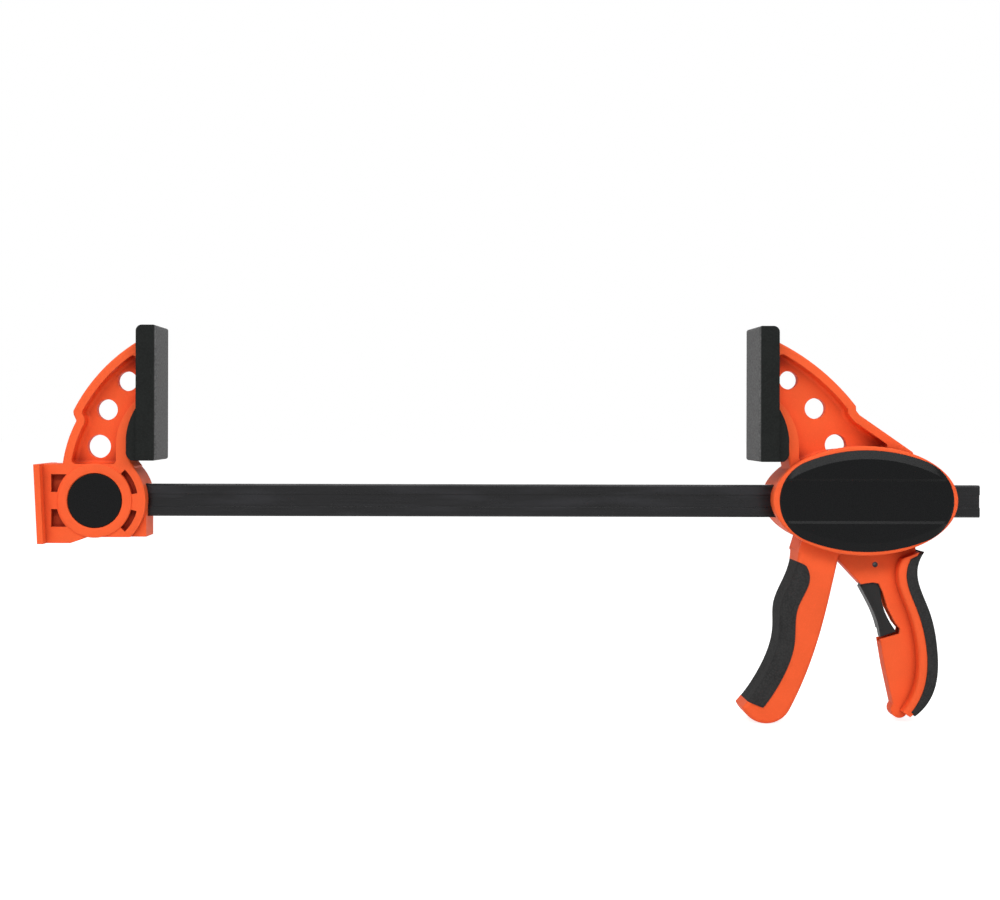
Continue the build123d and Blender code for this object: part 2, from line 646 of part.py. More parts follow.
def pivot_pin():
    return cross_rod(PIVOT_U, PIVOT_Z, PIVOT_R, PIVOT_HALF, -PIVOT_HALF)


# ---- trigger ------------------------------------------------------------------------
def trigger_front_edge(shift):
    """Front line of the trigger, from its neck to its toe."""
    points = [(20.9, -24.0), (17.4, -39.0), (12.2, -52.0), (11.8, -64.0), (5.0, -85.0), (-6.6, -101.6)]
    return Spline([(u + shift, z) for u, z in points])


def trigger_back_edge():
    points = [(41.4, -25.0), (36.9, -45.0), (31.7, -65.4), (24.6, -86.0), (17.0, -102.4)]
    return Spline(points)


def trigger_outline():
    front = trigger_front_edge(0)
    back = trigger_back_edge()
    return panel(front, back, Line(front @ 0, back @ 0),
                 ThreePointArc(front @ 1, (3.6, -109.4), back @ 1))


def fork_outline():
    """Arms of the trigger up to its pin."""
    front = trigger_front_edge(0) @ 0
    back = trigger_back_edge() @ 0
    boss = PIVOT_BOSS_R
    arms = Polygon(
        (front.X, front.Y - 1.0), (back.X, back.Y - 1.0), (back.X, back.Y),
        (PIVOT_U + boss, PIVOT_Z), (PIVOT_U - boss, PIVOT_Z), (front.X, front.Y), align=None)
    return arms + Pos(PIVOT_U, PIVOT_Z) * Circle(boss)


def trigger():
    """Moulded channel whose fork straddles the bar and whose nose pushes the plates."""
    body = even(trigger_outline(), TRIGGER_HALF)
    across = body.edges().filter_by(Axis.Y) + body.edges().filter_by(GeomType.LINE)
    body = fillet(body.edges() - across, TRIGGER_EDGE_R)
    inner = trigger_front_edge(TRIGGER_FRONT_WALL)
    far = 60.0
    hollow = panel(
        inner, Line(inner @ 1, (far, (inner @ 1).Y)), Line((far, (inner @ 1).Y), (far, (inner @ 0).Y)),
        Line((far, (inner @ 0).Y), inner @ 0))
    floor_cut = Pos(0, -104.0) * Rectangle(2 * far, 12.0)
    body -= even(hollow - floor_cut, FORK_INNER)
    fork = even(fork_outline(), TRIGGER_HALF) - even(fork_outline(), FORK_INNER)
    body += fork
    neck = trigger_front_edge(0) @ 0
    lip = Polygon(
        (neck.X + 0.1, neck.Y), (neck.X + 1.6, neck.Y + 6.0),
        (neck.X + 1.6 + TRIGGER_FRONT_WALL, neck.Y + 6.0),
        (neck.X + TRIGGER_FRONT_WALL, neck.Y - 0.5), (neck.X + 0.1, neck.Y - 0.5), align=None)
    body += even(lip, FORK_INNER + 0.5)
    body += cross_rod(NOSE_U, NOSE_Z, NOSE_R, FORK_INNER + 0.5, -FORK_INNER - 0.5)
    body -= cross_rod(PIVOT_U, PIVOT_Z, PIVOT_R + PIN_FIT, TRIGGER_HALF + 1, -TRIGGER_HALF - 1)
    seat = trigger_grip_outline()
    core = panel_between(GRIP_FRONT, 60.0)
    body -= even(seat, TRIGGER_HALF + 1) - even(core, TRIGGER_HALF - GRIP_SIDE)
    return body


def panel_between(shift, far):
    """Region behind the trigger's front line."""
    edge = trigger_front_edge(shift)
    top = (edge @ 0).Y + 10
    low = (edge @ 1).Y - 10
    return panel(
        edge, Line(edge @ 1, (far, low)), Line((far, low), (far, top)), Line((far, top), edge @ 0))


def trigger_grip_outline():
    """Side view of the rubber on the trigger."""
    back = Spline((24.6, -31.6), (26.3, -37.8), (20.6, -52.0), (19.0, -68.5), (11.6, -89.3), (3.4, -101.4))
    points = [(3.4, -101.4), (-5.6, -97.9), (-20, -98), (-20, -28.6), (17, -28.8)]
    edges = [Line(a, b) for a, b in zip(points, points[1:])]
    top = ThreePointArc((17, -28.8), (21.2, -29.7), (24.6, -31.6))
    region = panel(back, *edges, top)
    return region & trigger_outline()


def trigger_grip():
    """Soft overmould over the trigger's front."""
    body = even(trigger_grip_outline(), TRIGGER_HALF + GRIP_PROUD)
    long_edges = body.edges().sort_by(Edge.length)[-4:]
    body = fillet(long_edges.sort_by(Axis.X)[:2], GRIP_EDGE_R)
    core = panel_between(GRIP_FRONT, 60.0)
    return body - even(core, TRIGGER_HALF - GRIP_SIDE)


# ---- plates, springs and the release lever ------------------------------------------
def drive_plate(number):
    """Plate that grips the bar and is pushed along by the trigger's nose."""
    start = DRIVE_U + number * PLATE_T
    body = block(start, start + PLATE_T, PLATE_HALF, DRIVE_BOTTOM, DRIVE_TOP)
    passage = BAR_FIT + 0.05
    return body - block(start - 1, start + 4, HALF_T + passage, -HALF_H - passage, HALF_H + passage)


def brake_plate(number):
    """Plate with a tail, leaning against its abutment when it holds the bar."""
    start = ABUT_U + number * PLATE_T
    body = block(start, start + PLATE_T, PLATE_HALF, -14.0, BRAKE_TOP)
    body += block(start, start + PLATE_T, BRAKE_TAIL_HALF, BRAKE_TAIL_Z, -14.0)
    body -= block(start - 1, start + 4, HALF_T + 0.15, -BRAKE_HOLE / 2, BRAKE_HOLE / 2)
    hinge = Pos(ABUT_U, 0, ABUT_Z)
    return hinge * Rot(0, BRAKE_TILT, 0) * hinge.inverse() * body


def drive_spring():
    start = DRIVE_U + 2 * PLATE_T
    return spring((start, 0, DRIVE_SPRING_Z), (1, 0, 0), DRIVE_SPRING_R, DRIVE_WIRE, DRIVE_TURNS,
                  BULKHEAD_U - start)


def brake_spring():
    start = ABUT_U + 2 * PLATE_T + 0.45
    return spring((start, 0, 0), (1, 0, 0), BRAKE_SPRING_R, BRAKE_WIRE, BRAKE_TURNS,
                  SPRING_WALL_U - start)


def release_lever():
    """Finger lever on its own pin, whose heel bears on the brake plates' tails."""
    front = Spline((53.3, -42.4), (57.7, -50.6), (61.2, -58.5), (63.6, -67.6))
    rear = Spline((71.4, -64.8), (67.6, -59.0), (64.6, -51.6), (HEEL_U - 0.4, HEEL_Z - 2.0))
    left = (LEVER_PIN_U - LEVER_BOSS_R, LEVER_PIN_Z)
    right = (LEVER_PIN_U + LEVER_BOSS_R, LEVER_PIN_Z)
    face = panel(
        Line(left, front @ 0), front, Line(front @ 1, rear @ 0), rear,
        Line(rear @ 1, (HEEL_U, HEEL_Z)), Line((HEEL_U, HEEL_Z), right), Line(right, left))
    face += Pos(LEVER_PIN_U, LEVER_PIN_Z) * Circle(LEVER_BOSS_R)
    body = even(face, LEVER_HALF)
    rail_front = Spline((53.3, -42.4), (57.7, -50.6), (61.2, -58.5), (62.6, -63.5))
    rail = band(rail_front, Pos(LEVER_RAIL_DEEP, 0) * rail_front)
    body += even(rail, LEVER_RAIL_HALF)
    return body - cross_rod(LEVER_PIN_U, LEVER_PIN_Z, LEVER_PIN_R + PIN_FIT, SPINE_HALF, -SPINE_HALF)


# ---- assembly -----------------------------------------------------------------------
os.makedirs("parts", exist_ok=True)

save(bar(), "bar")
save(roll_pin(STOP_PIN_X, 0, BAR_HOLE_R, STOP_PIN_HALF), "bar_stop_pin")
save(to_fixed(fixed_jaw()), "fixed_jaw")
save(to_fixed(pad_boot(fixed_arm_outline())), "fixed_jaw_pad")
save(to_fixed(push_button()), "push_button")
save(to_fixed(lock_yoke()), "lock_yoke")
save(to_fixed(rear_cap()), "button_rear_cap")
save(to_fixed(button_spring()), "button_spring")

save(to_moving(moving_jaw()), "moving_jaw")
save(to_moving(pad_boot(moving_arm_outline())), "moving_jaw_pad")
save(to_moving(front_cover()), "front_cover")
save(to_moving(rear_cover()), "rear_cover")
save(to_moving(rear_grip()), "rear_grip")
save(to_moving(pivot_pin()), "trigger_pin")
save(to_moving(roll_pin(LEVER_PIN_U, LEVER_PIN_Z, LEVER_PIN_R, HANDLE_WEB_HALF)), "lever_pin")
save(to_moving(drive_spring()), "drive_spring")
save(to_moving(brake_spring()), "brake_spring")
save(to_moving(trigger()), "trigger")
save(to_moving(trigger_grip()), "trigger_grip")
for index, side in enumerate(("front", "rear")):
    save(to_moving(drive_plate(index)), f"drive_plate_{side}")
    save(to_moving(brake_plate(index)), f"brake_plate_{side}")
save(to_moving(release_lever()), "release_lever")

print("stop pin from the origin", round(STOP_PIN_X, 2))
print("drive travel", round(DRIVE_TRAVEL, 3), "per radian", round(DRIVE_TRAVEL / radians(TRIGGER_SWING), 3))
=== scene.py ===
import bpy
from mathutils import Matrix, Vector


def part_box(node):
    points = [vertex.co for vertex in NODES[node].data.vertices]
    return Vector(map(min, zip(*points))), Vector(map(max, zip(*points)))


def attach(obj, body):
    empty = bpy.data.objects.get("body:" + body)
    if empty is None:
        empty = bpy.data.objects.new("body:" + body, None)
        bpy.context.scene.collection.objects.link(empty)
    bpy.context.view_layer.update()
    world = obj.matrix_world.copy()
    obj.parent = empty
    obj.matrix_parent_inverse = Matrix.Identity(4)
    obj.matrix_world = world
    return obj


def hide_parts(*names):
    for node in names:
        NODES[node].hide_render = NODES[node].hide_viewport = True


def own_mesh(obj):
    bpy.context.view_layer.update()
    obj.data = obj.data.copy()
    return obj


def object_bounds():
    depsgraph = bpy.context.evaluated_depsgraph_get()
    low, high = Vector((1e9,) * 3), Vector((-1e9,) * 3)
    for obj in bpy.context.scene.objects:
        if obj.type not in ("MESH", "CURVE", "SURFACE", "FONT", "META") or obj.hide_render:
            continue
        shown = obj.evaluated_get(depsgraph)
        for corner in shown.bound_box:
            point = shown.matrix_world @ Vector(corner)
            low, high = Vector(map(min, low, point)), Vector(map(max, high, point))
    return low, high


bl_info = {
    "name": "Bar Clamp Finish",
    "version": (1, 0, 0),
    "blender": (4, 5, 0),
    "location": "View3D > Sidebar > Bar Clamp",
    "description": "Finishes, fine pieces and a studio for a one-hand bar clamp",
    "category": "Object",
}

from math import atan2, cos, pi, radians, sin

import bmesh
import bpy
from bpy.props import FloatProperty, FloatVectorProperty, PointerProperty
from mathutils import Matrix, Vector

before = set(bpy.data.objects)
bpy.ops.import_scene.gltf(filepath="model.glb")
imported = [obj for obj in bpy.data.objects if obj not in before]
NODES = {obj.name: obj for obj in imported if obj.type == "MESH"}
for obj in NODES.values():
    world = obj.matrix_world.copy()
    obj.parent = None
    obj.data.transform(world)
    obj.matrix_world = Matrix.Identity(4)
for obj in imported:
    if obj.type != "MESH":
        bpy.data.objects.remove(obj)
CAD_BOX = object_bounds()
MM = 0.001
WELD = 0.001 * MM            # points nearer than this are one
ROUND_WELD = 0.01 * MM       # the same, on forms that are spun
PADS_MIDDLE = (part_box("fixed_jaw_pad")[1].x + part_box("moving_jaw_pad")[0].x) / 2
PADS_HALF = (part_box("moving_jaw_pad")[0].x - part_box("fixed_jaw_pad")[1].x) / 2

ORANGE_NODES = ("fixed_jaw", "trigger", "button_rear_cap")
COVER_NODES = ("rear_cover", "push_button")
GRIP_NODES = ("rear_grip", "trigger_grip")
PAD_NODES = ("fixed_jaw_pad", "moving_jaw_pad")
PIN_NODES = ("bar_stop_pin", "trigger_pin", "lever_pin")
PLATE_NODES = ("drive_plate_front", "drive_plate_rear", "brake_plate_front",
               "brake_plate_rear", "lock_yoke")
SPRING_NODES = ("drive_spring", "brake_spring", "button_spring")


# ---- colours and nodes --------------------------------------------------------------
def linear(hex_colour):
    """Linear red, green and blue of an sRGB hex colour."""
    parts = [int(hex_colour[i:i + 2], 16) / 255 for i in (1, 3, 5)]
    return [p / 12.92 if p <= 0.04045 else ((p + 0.055) / 1.055) ** 2.4 for p in parts]


def per(size_mm):
    """Texture scale that makes one feature this many millimetres wide."""
    return 1000.0 / size_mm


def add(tree, kind, settings=None, inputs=None):
    """Adds one shader node, with its settings, input values and links."""
    made = tree.nodes.new("ShaderNode" + kind)
    for name, value in (settings or {}).items():
        setattr(made, name, value)
    for name, value in (inputs or {}).items():
        if isinstance(value, bpy.types.NodeSocket):
            tree.links.new(value, made.inputs[name])
        else:
            made.inputs[name].default_value = value
    return made


def start_material(name, **sockets):
    """New material with its shader's plain values set: returns it, its tree and its shader."""
    material = bpy.data.materials.new(name)
    material.use_nodes = True
    tree = material.node_tree
    shader = tree.nodes["Principled BSDF"]
    for socket, value in sockets.items():
        shader.inputs[socket.replace("_", " ")].default_value = value
    return material, tree, shader


def mixed(tree, factor, first, second):
    """Colour that goes from first to second."""
    node = add(tree, "Mix", {"data_type": "RGBA"})
    for index, value in ((0, factor), (6, first), (7, second)):
        if isinstance(value, bpy.types.NodeSocket):
            tree.links.new(value, node.inputs[index])
        else:
            node.inputs[index].default_value = value
    return node.outputs[2]


def spread(tree, value, low, high, to_low, to_high):
    """Value moved from one range to another, and held inside it."""
    return add(tree, "MapRange", {}, {
        "Value": value, "From Min": low, "From Max": high,
        "To Min": to_low, "To Max": to_high}).outputs[0]


# ---- sizes and colours that a user may change ---------------------------------------
class ClampFinish(bpy.types.PropertyGroup):
    """Colours and surface sizes."""
    orange: FloatVectorProperty(
        name="Nylon", description="Colour of the moulded nylon", subtype="COLOR",
        default=linear("#F96130"), min=0, max=1)
    cover: FloatVectorProperty(
        name="Covers", description="Colour of the black covers and the button",
        subtype="COLOR", default=linear("#08090A"), min=0, max=1)
    lever: FloatVectorProperty(
        name="Lever", description="Colour of the release lever", subtype="COLOR",
        default=linear("#1A1A1A"), min=0, max=1)
    grip: FloatVectorProperty(
        name="Grips", description="Colour of the soft grips", subtype="COLOR",
        default=linear("#333333"), min=0, max=1)
    pad: FloatVectorProperty(
        name="Pads", description="Colour of the jaw pads", subtype="COLOR",
        default=linear("#1B1D1C"), min=0, max=1)
    pad_face: FloatVectorProperty(
        name="Pad faces", description="Colour of the pads' rough working faces",
        subtype="COLOR", default=linear("#646464"), min=0, max=1)
    bar: FloatVectorProperty(
        name="Bar", description="Colour of the blackened bar", subtype="COLOR",
        default=linear("#101012"), min=0, max=1)
    nylon_grain: FloatProperty(
        name="Nylon grain", description="Width of the moulded grain, in millimetres",
        default=0.6, min=0.1, max=3)
    cover_grain: FloatProperty(
        name="Cover grain", description="Width of the covers' grain, in millimetres",
        default=0.5, min=0.1, max=3)
    pebble: FloatProperty(
        name="Pebble", description="Width of the rubber's pebbles, in millimetres",
        default=0.9, min=0.2, max=4)


class ClampCover(bpy.types.PropertyGroup):
    """Sizes of the front cover, in millimetres."""
    half_length: FloatProperty(
        name="Half length", description="Cover's centre to its ends",
        default=42.6, min=30, max=60)
    half_height: FloatProperty(
        name="Half height", description="Cover's centre to its top",
        default=24.8, min=22, max=40)
    end_radius: FloatProperty(
        name="End radius", description="Radius of the cover's two ends",
        default=20.6, min=5, max=21)
    bevel: FloatProperty(
        name="Bevel", description="Width of the bevel at the top and bottom",
        default=4.2, min=1, max=8)
    bevel_end: FloatProperty(
        name="Bevel at the ends", description="Width of the bevel at the ends",
        default=0.7, min=0.2, max=4)
    band: FloatProperty(
        name="Band", description="Half height of the sunk band across the middle",
        default=10.9, min=4, max=16)
    band_slope: FloatProperty(
        name="Band slope", description="Height of the slopes beside the band",
        default=1.15, min=0.2, max=4)
    band_deep: FloatProperty(
        name="Band depth", description="Depth of the sunk band",
        default=1.0, min=0.2, max=1.3)


class ClampStage(bpy.types.PropertyGroup):
    """Camera and lamps."""
    distance: FloatProperty(
        name="Distance", description="Camera to the clamp's middle plane", subtype="DISTANCE",
        default=0.72, min=0.2, max=5)
    lens: FloatProperty(
        name="Lens", description="Focal length, in millimetres", default=51.84, min=20, max=200)
    roll: FloatProperty(
        name="Roll", description="Camera's turn about its own axis", subtype="ANGLE",
        default=radians(-0.12), min=-0.1, max=0.1)
    top: FloatProperty(
        name="Top", description="Narrow soft box right above the bar", subtype="POWER",
        default=4.5, min=0)
    key: FloatProperty(
        name="Key", description="Large soft box above the camera", subtype="POWER",
        default=12.0, min=0)
    fill: FloatProperty(
        name="Fill", description="Soft box beside the camera", subtype="POWER",
        default=2.5, min=0)
    world: FloatProperty(
        name="World", description="Light from all round", default=0.3, min=0, max=2)


# ---- finishes -----------------------------------------------------------------------
# widths of what a finish is made of, in millimetres
FLOW_MARKS = 18.0            # slow change of the nylon's tone
PAINTED_SHADE_REACH = 9.0           # how far the painted shade reaches into corners and between near walls
RUBBER_CLOUDS = 7.0
FACE_FLECKS = 1.1            # grey flecks of the pads' working faces
FACE_FROM, FACE_TO = 0.5, 1.1    # depth over which those faces turn into the pads' sides
DRAWN_LINES = 0.5            # scratches along the bar
WORN_PATCHES = 22.0
OIL_SMEARS = 9.0

# heights of the small relief, and radii of the rounded edges, in millimetres
GRAIN_HIGH, PEBBLE_HIGH, DRAWN_HIGH = 0.03, 0.12, 0.02
NYLON_EDGE, PLASTIC_EDGE, RUBBER_EDGE, BAR_EDGE = 0.35, 0.25, 0.3, 0.3


def tint(colour, share):
    """A share of a colour, for a shader node."""
    return (*[c * share for c in colour], 1)


def noise(tree, place, width_mm, detail):
    """Cloudy value between 0 and 1, with features of a given width."""
    return add(tree, "TexNoise", {}, {
        "Vector": place, "Scale": per(width_mm), "Detail": detail}).outputs[0]


def relief(tree, shader, height, high_mm, strength, edge_mm):
    """Small relief of the surface, over edges that are rounded by a small radius."""
    rounded = add(tree, "Bevel", {"samples": 4}, {"Radius": edge_mm * MM}).outputs[0]
    bump = add(tree, "Bump", {}, {
        "Strength": strength, "Distance": high_mm * MM, "Height": height, "Normal": rounded})
    tree.links.new(bump.outputs[0], shader.inputs["Normal"])


def nylon_material(settings):
    """Glass-filled nylon, injection moulded: bright, satin, with faint flow marks, and painted
    shade in its corners and deep pockets.
    """
    material, tree, shader = start_material(
        "glass_filled_nylon", Roughness=0.55, IOR=1.53, Specular_IOR_Level=0.16)
    place = add(tree, "TexCoord").outputs["Object"]
    flow = noise(tree, place, FLOW_MARKS, 3.0)
    fibre = noise(tree, place, settings.nylon_grain, 2.0)
    colour = tint(settings.orange, 1)
    paler = (*[min(1, c * 1.06 + 0.006) for c in settings.orange], 1)
    base = mixed(tree, spread(tree, flow, 0.35, 0.65, 0, 1), tint(settings.orange, 0.93), colour)
    base = mixed(tree, spread(tree, fibre, 0.5, 0.75, 0, 0.6), base, paler)
    # painted shade: ambient occlusion paints corners and deep pockets dark red, where shade falls
    # between near walls
    corner = add(tree, "AmbientOcclusion", {"samples": 8, "only_local": True}, {
        "Distance": PAINTED_SHADE_REACH * MM})
    # the dark red of the painted shade
    painted_shade_red = (*[c * share for c, share in zip(settings.orange, (0.3, 0.1, 0.12))], 1)
    base = mixed(tree, spread(tree, corner.outputs["AO"], 0.3, 0.68, 0.9, 0), base, painted_shade_red)
    tree.links.new(base, shader.inputs["Base Color"])
    tree.links.new(spread(tree, fibre, 0.3, 0.7, 0.48, 0.64), shader.inputs["Roughness"])
    relief(tree, shader, fibre, GRAIN_HIGH, 0.25, NYLON_EDGE)
    return material


def black_plastic_material(name, colour, grain_mm, low, high, specular):
    """Black moulded plastic with a fine eroded grain, which keeps its shine soft."""
    material, tree, shader = start_material(
        name, Roughness=0.5, IOR=1.5, Specular_IOR_Level=specular)
    place = add(tree, "TexCoord").outputs["Object"]
    grain = noise(tree, place, grain_mm, 2.0)
    base = mixed(tree, grain, tint(colour, 0.85), tint(colour, 1.2))
    tree.links.new(base, shader.inputs["Base Color"])
    tree.links.new(spread(tree, grain, 0.3, 0.7, low, high), shader.inputs["Roughness"])
    relief(tree, shader, grain, GRAIN_HIGH, 0.5, PLASTIC_EDGE)
    return material


def rubber_material(name, colour, pebble_mm, roughness, specular, face=None):
    """Soft thermoplastic rubber, moulded against a pebbled tool, so it scatters its shine."""
    material, tree, shader = start_material(
        name, Roughness=roughness, IOR=1.45, Specular_IOR_Level=specular)
    place = add(tree, "TexCoord").outputs["Object"]
    pebble = add(tree, "TexVoronoi", {"feature": "SMOOTH_F1"}, {
        "Vector": place, "Scale": per(pebble_mm), "Smoothness": 0.4}).outputs[0]
    cloud = noise(tree, place, RUBBER_CLOUDS, 4.0)
    base = mixed(tree, spread(tree, pebble, 0.1, 0.7, 0, 1), tint(colour, 1.25), tint(colour, 0.8))
    base = mixed(tree, spread(tree, cloud, 0.4, 0.7, 0, 0.25), base, tint(colour, 1.5))
    if face:
        # the working faces are the two parts of the pads that lie nearest to each other
        along = add(tree, "SeparateXYZ", {}, {"Vector": place}).outputs["X"]
        middle = add(tree, "Math", {"operation": "SUBTRACT"}, {0: along, 1: PADS_MIDDLE})
        away = add(tree, "Math", {"operation": "ABSOLUTE"}, {0: middle.outputs[0]})
        fleck = noise(tree, place, FACE_FLECKS, 3.0)
        rubbed = mixed(
            tree, spread(tree, fleck, 0.35, 0.65, 0, 1), tint(face, 0.72), tint(face, 1.25))
        on_face = spread(
            tree, away.outputs[0], PADS_HALF + FACE_FROM * MM, PADS_HALF + FACE_TO * MM, 1, 0)
        base = mixed(tree, on_face, base, rubbed)
    tree.links.new(base, shader.inputs["Base Color"])
    relief(tree, shader, spread(tree, pebble, 0, 0.7, 1, 0), PEBBLE_HIGH, 0.7, RUBBER_EDGE)
    return material


def blackened_steel_material(settings):
    """Cold drawn steel, blackened and oiled: dark, fairly glossy, scratched along its length."""
    material, tree, shader = start_material(
        "blackened_drawn_steel", Roughness=0.28, IOR=1.5, Specular_IOR_Level=0.24)
    place = add(tree, "TexCoord").outputs["Object"]
    stretched = add(tree, "Mapping", {}, {"Vector": place, "Scale": (0.02, 1.0, 1.0)})
    drawn = noise(tree, stretched.outputs[0], DRAWN_LINES, 3.0)
    worn = noise(tree, place, WORN_PATCHES, 5.0)
    base = mixed(tree, spread(tree, drawn, 0.35, 0.7, 0, 1),
                 tint(settings.bar, 0.8), tint(settings.bar, 1.5))
    smear = add(tree, "Mapping", {}, {"Vector": place, "Scale": (0.25, 1.0, 1.6)})
    oiled = noise(tree, smear.outputs[0], OIL_SMEARS, 4.0)
    base = mixed(tree, spread(tree, oiled, 0.45, 0.68, 0, 0.8), base, tint(settings.bar, 3.4))
    tree.links.new(base, shader.inputs["Base Color"])
    tree.links.new(spread(tree, worn, 0.3, 0.7, 0.2, 0.38), shader.inputs["Roughness"])
    relief(tree, shader, drawn, DRAWN_HIGH, 0.3, BAR_EDGE)
    return material


def bright_steel_material(name, hex_colour, roughness, grain_mm):
    """Plain or plated steel, as cut or drawn, with a fine grain."""
    material, tree, shader = start_material(name, Metallic=1.0, Roughness=roughness)
    place = add(tree, "TexCoord").outputs["Object"]
    grain = noise(tree, place, grain_mm, 3.0)
    colour = linear(hex_colour)
    base = mixed(tree, grain, tint(colour, 0.85), tint(colour, 1))
    tree.links.new(base, shader.inputs["Base Color"])
    tree.links.new(spread(tree, grain, 0.3, 0.7, roughness * 0.8, roughness * 1.25),
                   shader.inputs["Roughness"])
    return material


def paint(names, material):
    """Gives the CAD nodes a finish."""
    for name in names:
        for slot in NODES[name].material_slots:
            slot.material = material


def piece(name, build, material, body):
    """New object from a finished bmesh, riding on a body."""
    mesh = bpy.data.meshes.new(name)
    build.to_mesh(mesh)
    build.free()
    mesh.materials.append(bpy.data.materials[material])
    made = bpy.data.objects.new(name, mesh)
    bpy.context.scene.collection.objects.link(made)
    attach(made, body)
    return made


def shade_by_angle(build, degrees):
    """Smooth shading, with the corners sharper than an angle kept crisp."""
    for face in build.faces:
        face.smooth = True
    for edge in build.edges:
        edge.smooth = len(edge.link_faces) == 2 and edge.calc_face_angle(0) < radians(degrees)


class CLAMP_OT_mouldings(bpy.types.Operator):
    """Finishes the orange mouldings, the black covers and the lever"""
    bl_idname = "clamp.mouldings"
    bl_label = "Mouldings"

    def execute(self, context):
        settings = context.scene.clamp_finish
        paint(ORANGE_NODES, nylon_material(settings))
        paint(COVER_NODES, black_plastic_material(
            "eroded_black_nylon", settings.cover, settings.cover_grain, 0.24, 0.34, 0.12))
        paint(("release_lever",), black_plastic_material(
            "satin_black_acetal", settings.lever, settings.cover_grain, 0.38, 0.5, 0.22))
        return {"FINISHED"}


class CLAMP_OT_rubber(bpy.types.Operator):
    """Finishes the soft grips and the jaw pads"""
    bl_idname = "clamp.rubber"
    bl_label = "Rubber"

    def execute(self, context):
        settings = context.scene.clamp_finish
        paint(GRIP_NODES, rubber_material(
            "pebbled_grip_rubber", settings.grip, settings.pebble, 0.85, 0.1))
        paint(PAD_NODES, rubber_material(
            "moulded_pad_rubber", settings.pad, settings.pebble, 0.7, 0.12, settings.pad_face))
        return {"FINISHED"}


class CLAMP_OT_steel(bpy.types.Operator):
    """Finishes the bar, pins, plates and springs"""
    bl_idname = "clamp.steel"
    bl_label = "Steel"

    def execute(self, context):
        settings = context.scene.clamp_finish
        paint(("bar",), blackened_steel_material(settings))
        paint(PIN_NODES, bright_steel_material("plain_pin_steel", "#3A3A3C", 0.35, 0.4))
        paint(PLATE_NODES, bright_steel_material("zinc_plated_steel", "#B9BBBE", 0.32, 0.6))
        paint(SPRING_NODES, bright_steel_material("drawn_spring_wire", "#A4A6A8", 0.28, 0.3))
        return {"FINISHED"}


# ---- front cover --------------------------------------------------------------------
COVER_AT = Vector((347.45, 0, -52.3))    # middle of the cover, in millimetres
COVER_FOOT = -17.03                      # where it lies on the housing's lip
COVER_EDGE = -17.2                       # top of its thin edge
COVER_FACE = -18.6                       # its panels
COVER_CORNER = 8                         # sharper corners stay crisp, in degrees
PANEL_END_LESS = 2.0                     # taken off the end radius of the panels, past the bevel
OVAL_STEPS = 28                          # sides of each of the oval's four arcs


def oval_ring(build, half_length, half_height, end_radius, depth):
    """Closed run of edges: a four-centre oval, spun about each of its centres in turn."""
    reach = half_length - end_radius
    side_radius = ((reach ** 2 + half_height ** 2 - end_radius ** 2)
                   / (2 * (half_height - end_radius)))
    drop = side_radius - half_height
    lean = atan2(drop, reach)
    place = COVER_AT + Vector((reach + end_radius * cos(lean), depth, -end_radius * sin(lean)))
    first = build.verts.new(place * MM)
    ring, last = [first], first
    end, side = 2 * lean, pi - 2 * lean
    for x, z, angle in ((reach, 0, end), (0, -drop, side), (-reach, 0, end), (0, drop, side)):
        centre = (COVER_AT + Vector((x, depth, z))) * MM
        before = set(build.verts)
        made = bmesh.ops.spin(
            build, geom=[last], cent=centre, axis=(0, -1, 0), angle=angle, steps=OVAL_STEPS,
            use_merge=False, use_duplicate=False)
        ring += [v for v in build.verts if v not in before]
        last = [v for v in made["geom_last"] if isinstance(v, bmesh.types.BMVert)][0]
    bmesh.ops.remove_doubles(build, verts=ring, dist=ROUND_WELD)
    return [e for e in build.edges if all(abs(v.co.y - depth * MM) < WELD for v in e.verts)]


def sink_band(build, cover):
    """Sinks the middle band below the panels, with a slope above and below it."""
    for side in (-1, 1):
        for height in (cover.band, cover.band - cover.band_slope):
            bmesh.ops.bisect_plane(
                build, geom=build.verts[:] + build.edges[:] + build.faces[:], dist=WELD,
                plane_co=(COVER_AT + Vector((0, 0, side * height))) * MM, plane_no=(0, 0, 1))
    for vert in build.verts:
        height = abs(vert.co.z / MM - COVER_AT.z)
        share = min(1, max(0, (cover.band - height) / cover.band_slope))
        floor = COVER_FACE + share * cover.band_deep
        vert.co.y = max(vert.co.y, floor * MM)


class CLAMP_OT_cover(bpy.types.Operator):
    """Makes the front cover: an oval with crescent bevels and a sunk band, left bare"""
    bl_idname = "clamp.cover"
    bl_label = "Front cover"

    def execute(self, context):
        cover = context.scene.clamp_cover
        build = bmesh.new()
        outline = (cover.half_length, cover.half_height, cover.end_radius)
        panel = (cover.half_length - cover.bevel_end, cover.half_height - cover.bevel,
                 cover.end_radius - cover.bevel - PANEL_END_LESS)
        foot = oval_ring(build, *outline, COVER_FOOT)
        edge = oval_ring(build, *outline, COVER_EDGE)
        face = oval_ring(build, *panel, COVER_FACE)
        bmesh.ops.bridge_loops(build, edges=foot + edge)
        bmesh.ops.bridge_loops(build, edges=edge + face)
        bmesh.ops.edgeloop_fill(build, edges=face)
        bmesh.ops.edgeloop_fill(build, edges=foot)
        sink_band(build, cover)
        bmesh.ops.triangulate(build, faces=[f for f in build.faces if len(f.verts) > 4])
        bmesh.ops.recalc_face_normals(build, faces=build.faces)
        shade_by_angle(build, COVER_CORNER)
        made = piece("front_cover_moulding", build, "eroded_black_nylon", "jaw")
        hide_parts("front_cover")
        return {"FINISHED"}


